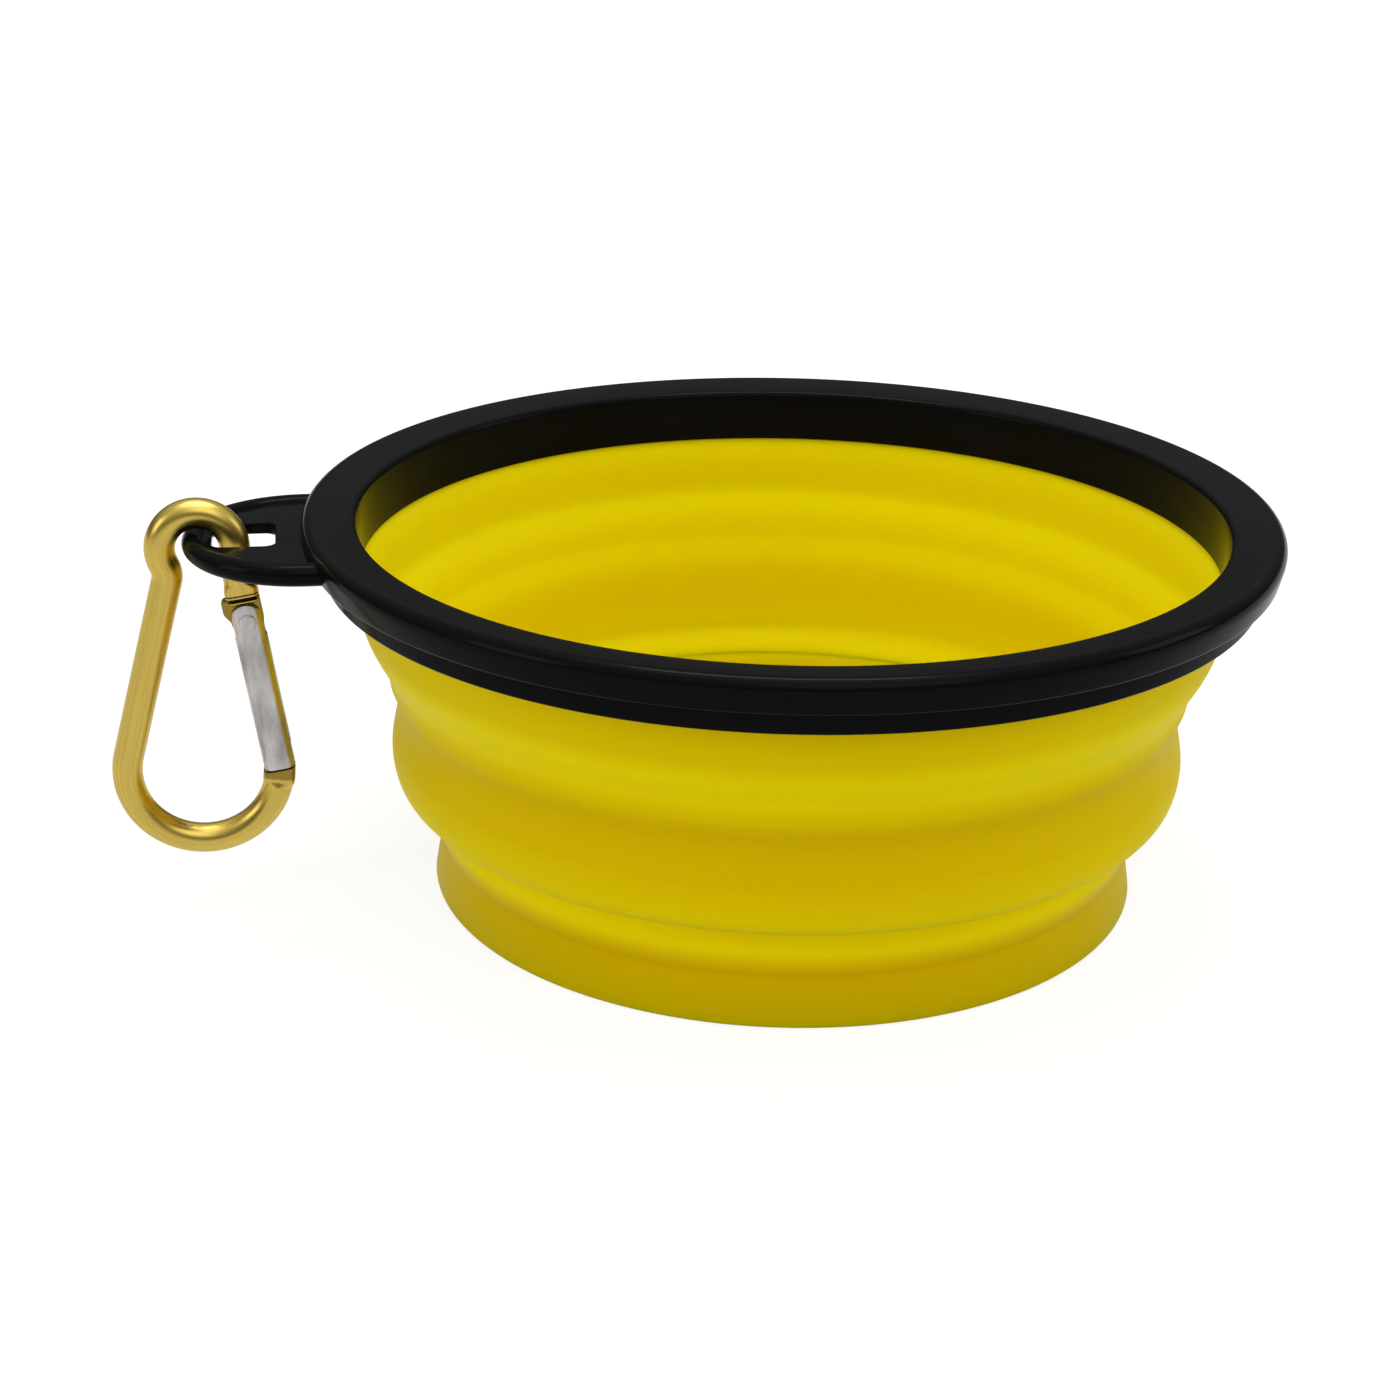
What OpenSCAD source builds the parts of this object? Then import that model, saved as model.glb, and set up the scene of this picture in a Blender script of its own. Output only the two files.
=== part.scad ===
// Collapsible travel bowl: a stepped silicone cup that folds flat, held in a two-piece
// rigid rim with a hanging tab, and a small snap hook that hangs from the tab.
// Origin: centre of the base's underside. +Z up, the tab points along -X.

/* [Silicone cup] */
// Outer radius of the top tier
tier1_r = 58; // [50:0.5:70]
// How much smaller the middle tier is than the top tier, in radius
upper_step = 4; // [3.6:0.1:6]
// How much smaller the bottom tier is than the middle tier, in radius
lower_step = 6; // [5.8:0.1:8]
// Wall thickness of the tiers
wall_t = 1.8; // [1.4:0.1:2]
// Wall thickness at the two folding creases
crease_t = 1.3; // [1:0.1:1.6]
// Thickness of the floor
floor_t = 2.2; // [1.5:0.1:4]
// Height of the bottom tier, from the base to its shoulder
tier3_h = 11; // [10:0.5:16]
// Height of the flank between the bottom tier's shoulder and the lower crease
lower_flank_h = 1.7; // [1.5:0.1:3]
// Rise of the middle tier's undercut face, from the crease to its edge
lower_undercut_h = 2.4; // [2:0.1:3]
// Height of the middle tier, from its lower edge to its shoulder
tier2_h = 15.6; // [14:0.2:20]
// Height of the flank between the middle tier's shoulder and the upper crease
upper_flank_h = 2.5; // [2.2:0.1:4]
// Rise of the top tier's undercut face, from the crease to its edge
upper_undercut_h = 2.4; // [2:0.1:3]
// Height of the top tier, from its lower edge to the rim
tier1_h = 9.55; // [9:0.05:14]
// How far the upper crease is drawn in from the middle tier
upper_crease_in = 0.3; // [0:0.1:1]
// How far the lower crease is drawn in from the bottom tier
lower_crease_in = 1.6; // [1.2:0.1:2]

/* [Rim] */
// Height of the clamp band that shows below the flange
band_h = 3.15; // [2.8:0.05:5]
// Height of the flange at its inner lip
lip_h = 3.7; // [3.2:0.1:6]
// How much higher the flange is at its outer crown
crown_rise = 1.2; // [0.4:0.1:2]
// Width of the flange's skirt outside the clamp band
skirt_t = 2.7; // [2.2:0.1:4]
// Thickness of the rim's inner wall
rim_wall_t = 1.7; // [1.5:0.1:2.4]
// Width of the silicone bead that the rim holds
bead_w = 2.5; // [2.2:0.1:3.5]
// Gap between the pressed-together pieces of the rim
fit_gap = 0.1; // [0.05:0.01:0.15]

/* [Hanging tab] */
// Radius of the tab's rounded edge bead, to the middle of the bead
tab_bend_r = 14.3; // [13:0.1:18]
// Radius of the edge bead itself
tab_bead_r = 1.5; // [1.3:0.05:1.7]
// Thickness of the plate inside the bead
tab_plate_t = 1.6; // [1.2:0.1:2]
// Width of the plate's web between the tip's bead and the slot
slot_web = 0.9; // [0.5:0.05:1]
// Length of the slot, away from the web
slot_l = 8.1; // [7.8:0.1:9]
// Width of the slot
slot_w = 9.5; // [7:0.1:12]
// Radius of the slot's corners
slot_corner_r = 1.5; // [0.8:0.1:2]

/* [Snap hook] */
// Diameter of the hook's rod
rod_d = 4; // [3.4:0.1:4.2]
// Radius of the top loop, to the middle of the rod
loop_r = 4.8; // [4.7:0.05:5.5]
// Radius of the big bottom bend, to the middle of the rod
bow_r = 10; // [9.5:0.1:10.6]
// Drop from the top loop's centre to the bottom bend's centre
bow_drop = 31.1; // [30:0.1:36]
// Sideways shift of the bottom bend's centre, towards the spine
bow_shift = 0.8; // [0:0.1:1.2]
// How far the spine's line passes inside the loop, to the middle of the rod
spine_in = 1.9; // [1.4:0.1:2.2]
// How far the gate's line passes inside the loop, to the middle of the rod
gate_in = 0.45; // [0.35:0.05:0.8]
// Radius of the reverse bends below the loop, to the middle of the rod
neck_bend_r = 3; // [2.6:0.1:4]
// Gap between the loop and the tab's bead, where the hook hangs
hang_gap = 0.3; // [0.2:0.05:0.5]

/* [Gate] */
// Diameter of the gate
gate_d = 4.3; // [4:0.1:4.6]
// Thickness of the gate across its milled flats
gate_flat_t = 3.4; // [3.2:0.1:3.8]
// Distance along the gate from the loop's foot point to the rivet
rivet_drop = 10.65; // [10.2:0.05:11.5]
// Diameter of the rivet
rivet_d = 1.6; // [1.2:0.1:1.8]
// Thickness of the flattened tang that the gate turns on
tang_t = 1.6; // [1.3:0.1:1.7]
// Depth of the spring bore below the rivet
bore_depth = 12; // [10:0.5:14]
// Diameter of the spring bore
bore_d = 2.3; // [2.1:0.05:2.5]
// Running gap of the gate's moving faces
run_gap = 0.1; // [0.06:0.01:0.15]
// Length of the spring's plunger
plunger_l = 4; // [3:0.1:5]
// Wire diameter of the spring
spring_wire_d = 0.3; // [0.25:0.01:0.35]
// Number of turns of the spring
spring_turns = 8; // [5:1:9]

/* [Hidden] */
$fn = 96;

// Colours of the pieces
silicone_colour = [0.82, 0.72, 0.02];
rim_colour = [0.06, 0.06, 0.07];
gold_colour = [0.78, 0.62, 0.22];
silver_colour = [0.72, 0.72, 0.74];
steel_colour = [0.55, 0.56, 0.58];

// Overrun of cuts past the faces they open
over = 1;
// Steps along each rounded corner of a section
corner_steps = 5;
// Most of an edge that the rounding of one of its ends may take
edge_share = 0.49;

// Heights of the cup's edges and creases, from the base up
shoulder3_z = tier3_h;
crease2_z = shoulder3_z + lower_flank_h;
tier2_foot_z = crease2_z + lower_undercut_h;
shoulder2_z = tier2_foot_z + tier2_h;
crease1_z = shoulder2_z + upper_flank_h;
tier1_foot_z = crease1_z + upper_undercut_h;
band_z = tier1_foot_z + tier1_h;
flange_z = band_z + band_h;

// Outer radii of the tiers, their shoulders and creases
tier2_r = tier1_r - upper_step;
tier3_r = tier2_r - lower_step;
crease1_r = tier2_r - upper_crease_in;
crease2_r = tier3_r - lower_crease_in;
// How far a shoulder's sharp corner stands out before it is rounded
shoulder_lead = 0.5;
// The top tier narrows a little down to its lower edge
tier1_foot_in = 0.6;
// The middle tier narrows to a waist and swells to a belly below it
waist_in = 1.6;
waist_share = 0.74;
belly_lead = 0.1;
belly_share = 0.3;
tier2_foot_in = 0.9;
// The bottom tier narrows a little below its shoulder and spreads again to its base
side_in = 0.8;
base_out = 1.1;
// Bend radii of the outer surface: at the feet and shoulders they pass the wall's
// thickness, so that the inner surface stays round too
foot_ease = 1.2;
shoulder_ease = 1;
foot_bend = wall_t + foot_ease;
shoulder_bend = wall_t + shoulder_ease;
crease_bend = 1.6;
soft_bend = 8;
base_bend = 0.4;
floor_bend = 3;
side_run = 1;
side_gap = 0.4;
side_r = tier3_r - side_in;
side_z = floor_t + floor_bend + side_gap;
side_top_z = side_z + side_run;
base_r = side_r + base_out;
side_foot_r = side_r + base_out * side_run / side_top_z;

// Where the cup is cut into its stiff tiers and its folding stretches
upper_fold_top_z = tier1_foot_z + foot_bend;
upper_fold_foot_z = shoulder2_z - shoulder_bend;
lower_fold_top_z = tier2_foot_z + foot_bend;
lower_fold_foot_z = shoulder3_z - shoulder_bend;

// The silicone's flare, neck and bead inside the rim
flare_out = 1;
flare_h = 3.3;
neck_t = 1.15;
neck_rise = 1.6;
bead_h = 1.8;
ledge_w = 1;
mouth_r = tier1_r - wall_t + ledge_w;
wall_back_r = mouth_r + rim_wall_t;
bead_in_r = wall_back_r + fit_gap;
bead_out_r = bead_in_r + bead_w;
flare_r = tier1_r + flare_out;
neck_out_r = bead_in_r + neck_t;
neck_z = band_z - fit_gap / 2;
bead_z = flange_z + fit_gap;
bead_top_z = bead_z + bead_h;

// The inner wall's slanted foot, which the silicone's neck runs along
lip_drop = 0.35;
lip_edge_t = 0.4;
slant_h = 1.5;
slant_z = band_z - lip_drop;
slant_top_z = slant_z + slant_h;
slant_rise = slant_h / (rim_wall_t - lip_edge_t);
neck_foot_z = slant_top_z - (bead_in_r - tier1_r + wall_t) * slant_rise;

// The clamp band and the flange over it
band_rib_t = 0.6;
band_r = bead_out_r + fit_gap + band_rib_t;
channel_r = band_r + fit_gap;
channel_top_z = bead_top_z + fit_gap;
rim_r = channel_r + skirt_t;
mouth_draft = 0.55;
skirt_lean = 1.15;
crown_lead = 0.35;
lip_bend = 0.9;
crown_bend = 1.8;
skirt_bend = 0.5;
edge_bend = 0.15;
band_edge_bend = 0.35;

// The tab: centre of its rounded edge, its tip and its plate
tab_root = 0.7;
tab_x = -(rim_r - tab_root);
tab_z = flange_z + tab_bead_r;
tab_tip_x = tab_x - tab_bend_r;
tab_embed = 2.3;
plate_lift = 0.7;
plate_in = 2;
slot_end_x = tab_tip_x + tab_bead_r + slot_web;

// The hook hangs on the bead at the tab's tip: its loop's centre lies below that bead
rod_r = rod_d / 2;
loop_in_r = loop_r - rod_r;
hang_offset = loop_in_r - tab_bead_r - hang_gap;
hang_lean = 27;
// Bending thins the rod's radius a little, and each thinned bend laps its neighbours
// by a small angle
bend_thin = 0.03;
bend_lap_angle = 0.5;
loop_c = [tab_tip_x + hang_offset * sin(hang_lean), tab_z - hang_offset * cos(hang_lean)];
bow_c = [-bow_shift, -bow_drop];

// The spine and the gate touch the bottom bend along two lines. Each line's distance from
// the loop's centre gives its lean from upright.
spine_d = loop_r - spine_in;
gate_line_d = loop_r - gate_in;
bow_lean = atan2(bow_shift, bow_drop);
spine_lean = asin((bow_r - spine_d) / norm(bow_c)) + bow_lean;
gate_lean = asin((bow_r - gate_line_d) / norm(bow_c)) - bow_lean;
spine_n = [-cos(spine_lean), sin(spine_lean)];
spine_u = [sin(spine_lean), cos(spine_lean)];
gate_n = [cos(gate_lean), sin(gate_lean)];
gate_u = [-sin(gate_lean), cos(gate_lean)];

// Centre of the bend that joins the loop to a line at distance d along n, upwards along u
function neck_centre(n, u, d) =
    (d + neck_bend_r) * n - sqrt(pow(loop_r + neck_bend_r, 2) - pow(d + neck_bend_r, 2)) * u;
// Direction of a vector from +X, in degrees from 0 to 360
function heading(v) = (atan2(v[1], v[0]) + 360) % 360;

spine_neck = neck_centre(spine_n, spine_u, spine_d);
gate_neck = neck_centre(gate_n, gate_u, gate_line_d);
spine_foot = bow_c + bow_r * spine_n;
spine_head = spine_neck - neck_bend_r * spine_n;
gate_head = gate_neck - neck_bend_r * gate_n;

// The rivet, in the hook's plane, and the gate's length below it
rivet_c = gate_line_d * gate_n - rivet_drop * gate_u;
gate_foot_drop = 1.5;
gate_l = (rivet_c - bow_c) * gate_u + gate_foot_drop;

// The tang and the fork that turns on it
tang_r = 2.15;
tang_flat = 1.9;
fork_gap = 0.3;
gate_crown_r = 2.3;
shoulder_gap = 0.25;
heel_out = 2.9;
heel_h = 1.4;
heel_bend = 1.2;
collar_w = 4.4;
collar_t = 3.4;
collar_h = 1.4;
collar_lap = 0.2;
collar_groove = 0.25;
groove_in = 0.5;
rivet_head_d = 2.3;
rivet_head_h = 0.2;

// The nose that the gate's foot closes on
nose_t = 1.4;
nose_in = 1.2;
nose_out = 1.6;
nose_h = 3;
nose_embed = 1.6;
nose_floor_gap = 0.15;
nose_top_gap = 0.3;
foot_gap = 0.15;

// The spring in the gate's bore
plunger_gap = 0.05;
spring_clear = 0.08;
spring_ring_steps = 8;
spring_sides = 6;

// Section tools

function unit(v) = v / norm(v);
// The turn from angle a anticlockwise to angle b, in degrees
function sweep(a, b) = (b - a + 360) % 360;
// The smallest turn from angle a to angle b, in degrees
function turn(a, b) = let (t = (b - a + 720) % 360) t > 180 ? t - 360 : t;
// 1 where a path turns to its right at p1, and -1 where it turns left
function side(p0, p1, p2) = cross(p1 - p0, p2 - p1) < 0 ? 1 : -1;
// Arc rounding the corner p1, drawn inset to the right of the path. Its radius is r, or
// less where an edge is too short for it, and a tighter inset side comes to a sharp corner.
function corner(p0, p1, p2, r, inset = 0) =
    let (a = unit(p0 - p1),
         b = unit(p2 - p1),
         half = acos(a * b) / 2,
         room = min(norm(p0 - p1), norm(p2 - p1)) * edge_share,
         fit_r = min(r, room * tan(half)),
         arc_r = fit_r - side(p0, p1, p2) * inset,
         c = p1 + unit(a + b) * fit_r / sin(half),
         from = heading(p1 + a * fit_r / tan(half) - c),
         to = heading(p1 + b * fit_r / tan(half) - c))
    arc_r <= 0 ? [p1 + unit(a + b) * inset / sin(half)]
        : [for (i = [0:corner_steps])
            let (t = from + turn(from, to) * i / corner_steps) c + arc_r * [cos(t), sin(t)]];
function spot(v) = [v[0], v[1]];
// A closed outline of [x, y, radius] corners with each corner rounded by its radius
function rounded(v) =
    let (n = len(v))
    [for (i = [0:n - 1])
        let (r = v[i][2])
        each r == 0 ? [spot(v[i])]
            : corner(spot(v[(i + n - 1) % n]), spot(v[i]), spot(v[(i + 1) % n]), r)];
// One surface of a wall that follows [x, y, bend, thickness] corners, offset to the right
function wall_side(v, on) =
    let (n = len(v),
         first = unit(spot(v[1]) - spot(v[0])),
         last = unit(spot(v[n - 1]) - spot(v[n - 2])))
    concat([spot(v[0]) + on * v[0][3] * [first[1], -first[0]]],
           [for (i = [1:n - 2])
               each corner(spot(v[i - 1]), spot(v[i]), spot(v[i + 1]), v[i][2], on * v[i][3])],
           [spot(v[n - 1]) + on * v[n - 1][3] * [last[1], -last[0]]]);
function reversed(v) = [for (i = [len(v) - 1:-1:0]) v[i]];

// The cup's outer surface from the flare down to its side, with wall thicknesses
cup_wall = [
    [tier1_r, band_z - flare_h, 0, wall_t],
    [tier1_r - tier1_foot_in, tier1_foot_z, foot_bend, wall_t],
    [crease1_r, crease1_z, crease_bend, crease_t],
    [tier2_r + shoulder_lead, shoulder2_z, shoulder_bend, wall_t],
    [tier2_r - waist_in, tier2_foot_z + tier2_h * waist_share, soft_bend, wall_t],
    [tier2_r + belly_lead, tier2_foot_z + tier2_h * belly_share, soft_bend, wall_t],
    [tier2_r - tier2_foot_in, tier2_foot_z, foot_bend, wall_t],
    [crease2_r, crease2_z, crease_bend, crease_t],
    [tier3_r + shoulder_lead, shoulder3_z, shoulder_bend, wall_t],
    [side_r, side_top_z, soft_bend, wall_t],
    [side_foot_r, side_z, 0, wall_t]
];

// The rounded edge of the base and the floor above it, from the outside in and back
cup_floor = concat(
    corner([side_foot_r, side_z], [base_r, 0], [0, 0], base_bend),
    [[0, 0], [0, floor_t]],
    corner([0, floor_t], [side_foot_r - wall_t, floor_t], [side_foot_r - wall_t, tier3_h], floor_bend)
);

// The neck's inner side, the bead that the rim holds and the neck's outer side
cup_neck = [
    [tier1_r - wall_t, neck_foot_z],
    [bead_in_r, slant_top_z],
    [bead_in_r, bead_top_z],
    [bead_out_r, bead_top_z],
    [bead_out_r, bead_z],
    [neck_out_r, bead_z],
    [neck_out_r, neck_z + neck_rise],
    [flare_r, neck_z]
];

// The part of the cup between two heights, spun into a ring
module cup_slice(low, high) {
    rotate_extrude()
        intersection() {
            polygon(concat(cup_neck, wall_side(cup_wall, 0), cup_floor, reversed(wall_side(cup_wall, 1))));
            translate([0, low])
                square([rim_r, high - low]);
        }
}

// Pieces

module silicone_upper_wall() {
    color(silicone_colour)
        cup_slice(upper_fold_top_z, bead_top_z + over);
}

module silicone_upper_fold() {
    color(silicone_colour)
        cup_slice(upper_fold_foot_z, upper_fold_top_z);
}

module silicone_middle_ring() {
    color(silicone_colour)
        cup_slice(lower_fold_top_z, upper_fold_foot_z);
}

module silicone_lower_fold() {
    color(silicone_colour)
        cup_slice(lower_fold_foot_z, lower_fold_top_z);
}

module silicone_base_cup() {
    color(silicone_colour)
        cup_slice(0, lower_fold_foot_z);
}

// The flange, its channel for the bead and the inner wall, as one section
module rim_section() {
    polygon(rounded([
        [mouth_r, slant_z, edge_bend],
        [mouth_r + mouth_draft, flange_z + lip_h, lip_bend],
        [rim_r + crown_lead, flange_z + lip_h + crown_rise, crown_bend],
        [rim_r + crown_lead - skirt_lean, flange_z, skirt_bend],
        [channel_r, flange_z, 0],
        [channel_r, channel_top_z, 0],
        [wall_back_r, channel_top_z, 0],
        [wall_back_r, slant_top_z, 0],
        [mouth_r + lip_edge_t, slant_z, 0]
    ]));
}

// The tab's plate in plan: a rounded tongue that starts inside the flange's skirt
module tab_plan() {
    difference() {
        union() {
            translate([tab_x, 0])
                circle(r = tab_bend_r);
            translate([tab_x, -tab_bend_r])
                square([tab_embed, tab_bend_r * 2]);
        }
        circle(r = rim_r - plate_in);
    }
}

// The slot in plan: a rectangle with round corners, kept inside the tab's bead
module slot_plan() {
    intersection() {
        translate([slot_end_x, -slot_w / 2])
            polygon(rounded([
                [0, 0, slot_corner_r],
                [slot_l, 0, slot_corner_r],
                [slot_l, slot_w, slot_corner_r],
                [0, slot_w, slot_corner_r]
            ]));
        translate([tab_x, 0])
            circle(r = tab_bend_r - tab_bead_r);
    }
}

module tab_bead() {
    translate([tab_x, 0, tab_z]) {
        rotate_extrude(start = 90, angle = 180)
            translate([tab_bend_r, 0])
                circle(r = tab_bead_r);
        for (y = [-tab_bend_r, tab_bend_r])
            translate([0, y, 0])
                rotate([0, 90, 0])
                    cylinder(h = tab_embed, r = tab_bead_r);
    }
}

module rim_ring() {
    color(rim_colour)
        difference() {
            union() {
                rotate_extrude()
                    rim_section();
                tab_bead();
                translate([0, 0, flange_z + plate_lift])
                    linear_extrude(tab_plate_t)
                        tab_plan();
            }
            translate([0, 0, flange_z + plate_lift - over])
                linear_extrude(tab_plate_t + over * 2)
                    slot_plan();
        }
}

// The band under the flange: it wedges the neck against the inner wall
module rim_clamp_band() {
    color(rim_colour)
        rotate_extrude()
            polygon(rounded([
                [flare_r + fit_gap, band_z, 0],
                [neck_out_r + fit_gap, band_z + neck_rise, 0],
                [neck_out_r + fit_gap, flange_z, 0],
                [bead_out_r + fit_gap, flange_z, 0],
                [bead_out_r + fit_gap, bead_top_z, 0],
                [band_r, bead_top_z, 0],
                [band_r, band_z, band_edge_bend]
            ]));
}

// Places a piece of the hook, drawn in the loop's frame, at its hanging place
module hung() {
    translate([loop_c[0], 0, loop_c[1]])
        children();
}

// Places a piece drawn about the rivet, with Z up along the gate and X outwards
module at_rivet() {
    translate([rivet_c[0], 0, rivet_c[1]])
        rotate([0, -gate_lean, 0])
            children();
}

// A bend of the rod in the hook's plane, anticlockwise from one heading to another.
// A bend thinned by the bending laps a little into its neighbours.
module rod_bend(c, r, from, to, thin = 0) {
    lap = thin > 0 ? bend_lap_angle : 0;
    translate([c[0], 0, c[1]])
        rotate([90, 0, 0])
            rotate_extrude(start = from - lap, angle = sweep(from, to) + lap * 2)
                translate([r, 0])
                    circle(r = rod_r - thin);
}

// A straight stretch of the rod from p to q in the hook's plane
module rod_run(p, q) {
    translate([p[0], 0, p[1]])
        rotate([0, 90 - atan2(q[1] - p[1], q[0] - p[0]), 0])
            cylinder(h = norm(q - p), r = rod_r);
}

// A plate lying in the hook's plane, t thick and centred on it
module flat_piece(t) {
    rotate([90, 0, 0])
        linear_extrude(t, center = true)
            children();
}

// The tang: a rounded blade round the rivet with a heel on its inner side
module tang() {
    collar_z = gate_crown_r + shoulder_gap;
    groove_z = collar_z + collar_groove * 2;
    flat_piece(tang_t) {
        difference() {
            circle(r = tang_r);
            translate([-tang_r, -tang_r - over])
                square([tang_r * 2, tang_r + over - tang_flat]);
        }
        polygon(rounded([
            [tang_r, 0, 0],
            [tang_r, collar_z + collar_h, 0],
            [-heel_out, collar_z + collar_h, 0],
            [-heel_out, collar_z - heel_h, heel_bend],
            [-tang_r, 0, 0]
        ]));
    }
    flat_piece(collar_t)
        polygon([
            [-collar_w / 2, collar_z],
            [collar_w / 2, collar_z],
            [collar_w / 2, groove_z - collar_groove],
            [collar_w / 2 - groove_in, groove_z],
            [collar_w / 2, groove_z + collar_groove],
            [collar_w / 2, collar_z + collar_h],
            [-collar_w / 2, collar_z + collar_h],
            [-collar_w / 2, groove_z + collar_groove],
            [groove_in - collar_w / 2, groove_z],
            [-collar_w / 2, groove_z - collar_groove]
        ]);
}

// The blade on the bottom bend's end that the gate's foot closes over
module nose() {
    flat_piece(nose_t)
        translate([0, -gate_l])
            polygon(rounded([
                [-nose_in, -nose_embed, 0],
                [nose_out, -nose_embed, 0],
                [nose_out, nose_h, nose_t / 2],
                [-nose_in, nose_h, nose_t / 2]
            ]));
}

module carabiner_body() {
    color(gold_colour)
        hung() {
            difference() {
                union() {
                    rod_bend([0, 0], loop_r, heading(gate_neck), heading(spine_neck));
                    rod_bend(spine_neck, neck_bend_r, heading(-spine_n), heading(-spine_neck), bend_thin);
                    rod_run(spine_foot, spine_head);
                    rod_bend(bow_c, bow_r, heading(spine_n), heading(gate_n), bend_thin);
                    rod_bend(gate_neck, neck_bend_r, heading(-gate_neck), heading(-gate_n), bend_thin);
                    rod_run(gate_head,
                        rivet_c + (gate_crown_r + shoulder_gap + collar_h - collar_lap) * gate_u);
                }
                at_rivet()
                    translate([-gate_d, -gate_d, -gate_l - foot_gap])
                        cube([gate_d * 2, gate_d * 2, gate_l / 2]);
            }
            at_rivet()
                difference() {
                    union() {
                        tang();
                        nose();
                    }
                    rotate([90, 0, 0])
                        cylinder(h = gate_d, d = rivet_d + run_gap, center = true);
                }
        }
}

// The gate: a bar with two flats, a fork at its head, a spring bore and a nose slot at its foot
module carabiner_gate() {
    fork_t = tang_t + run_gap * 2;
    fork_depth = tang_r + fork_gap;
    slot_t = nose_t + run_gap * 2;
    color(silver_colour)
        hung()
            at_rivet()
                difference() {
                    intersection() {
                        translate([0, 0, -gate_l])
                            cylinder(h = gate_l + gate_crown_r, d = gate_d);
                        cube([gate_d * 2, gate_flat_t, gate_l * 3], center = true);
                        union() {
                            rotate([90, 0, 0])
                                cylinder(h = gate_d, r = gate_crown_r, center = true);
                            translate([-gate_d, -gate_d, -gate_l * 2])
                                cube([gate_d * 2, gate_d * 2, gate_l * 2]);
                        }
                    }
                    translate([-gate_d, -fork_t / 2, -fork_depth])
                        cube([gate_d * 2, fork_t, fork_depth + gate_d]);
                    translate([0, 0, -bore_depth])
                        cylinder(h = bore_depth + gate_d, d = bore_d);
                    rotate([90, 0, 0])
                        cylinder(h = gate_d, d = rivet_d + fit_gap / 2, center = true);
                    translate([-nose_in - nose_floor_gap, -slot_t / 2, -gate_l - over])
                        cube([gate_d, slot_t, nose_h + nose_top_gap + over]);
                }
}

module gate_rivet() {
    color(silver_colour)
        hung()
            at_rivet()
                rotate([90, 0, 0]) {
                    cylinder(h = gate_flat_t + rivet_head_h, d = rivet_d, center = true);
                    for (s = [-1, 1])
                        translate([0, 0, s * (gate_flat_t + rivet_head_h) / 2])
                            cylinder(h = rivet_head_h, d = rivet_head_d, center = true);
                }
}

module gate_plunger() {
    color(steel_colour)
        hung()
            at_rivet()
                translate([0, 0, -tang_flat - plunger_gap - plunger_l])
                    cylinder(h = plunger_l, d = bore_d - plunger_gap * 2);
}

// A coil of round wire between two heights, as one closed tube
module coil(low, high, radius, wire_d, turns) {
    steps = turns * spring_ring_steps;
    rise = (high - low - wire_d) / steps;
    points = [for (i = [0:steps], j = [0:spring_sides - 1])
        let (a = i * 360 / spring_ring_steps,
             b = j * 360 / spring_sides,
             r = radius + cos(b) * wire_d / 2)
        [r * cos(a), r * sin(a), low + wire_d / 2 + rise * i + sin(b) * wire_d / 2]];
    tube = [for (i = [0:steps - 1], j = [0:spring_sides - 1])
        let (k = (j + 1) % spring_sides,
             p = i * spring_sides,
             q = p + spring_sides)
        each [[p + j, q + j, q + k], [p + j, q + k, p + k]]];
    foot = [for (j = [1:spring_sides - 2]) [0, j, j + 1]];
    head = [for (j = [1:spring_sides - 2])
        let (p = steps * spring_sides) [p, p + j + 1, p + j]];
    polyhedron(points, concat(tube, foot, head));
}

module gate_spring() {
    top_z = -tang_flat - plunger_gap * 2 - plunger_l;
    color(steel_colour)
        hung()
            at_rivet()
                coil(plunger_gap - bore_depth, top_z, (bore_d - spring_wire_d) / 2 - spring_clear,
                     spring_wire_d, spring_turns);
}

rim_ring();
rim_clamp_band();
silicone_upper_wall();
silicone_upper_fold();
silicone_middle_ring();
silicone_lower_fold();
silicone_base_cup();
carabiner_body();
carabiner_gate();
gate_rivet();
gate_spring();
gate_plunger();
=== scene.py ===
import math

import bmesh
import bpy
from mathutils import Matrix, Vector


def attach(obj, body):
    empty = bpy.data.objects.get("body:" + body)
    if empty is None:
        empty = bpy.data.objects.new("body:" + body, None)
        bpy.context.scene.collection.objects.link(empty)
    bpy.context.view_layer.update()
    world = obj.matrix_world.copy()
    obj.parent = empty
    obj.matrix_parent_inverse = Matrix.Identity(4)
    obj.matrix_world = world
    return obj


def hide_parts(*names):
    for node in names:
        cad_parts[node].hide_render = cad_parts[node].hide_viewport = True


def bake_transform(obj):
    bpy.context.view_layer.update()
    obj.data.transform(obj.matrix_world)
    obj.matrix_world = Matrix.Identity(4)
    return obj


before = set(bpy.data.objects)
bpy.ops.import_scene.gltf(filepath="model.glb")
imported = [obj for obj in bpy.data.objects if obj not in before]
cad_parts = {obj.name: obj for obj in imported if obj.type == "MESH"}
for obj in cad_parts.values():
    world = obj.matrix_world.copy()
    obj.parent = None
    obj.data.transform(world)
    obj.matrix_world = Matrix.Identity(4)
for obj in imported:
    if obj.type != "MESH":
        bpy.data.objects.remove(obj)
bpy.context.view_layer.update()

# The object's sizes are in millimetres, and its meshes are made in metres
MM = 0.001

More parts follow.
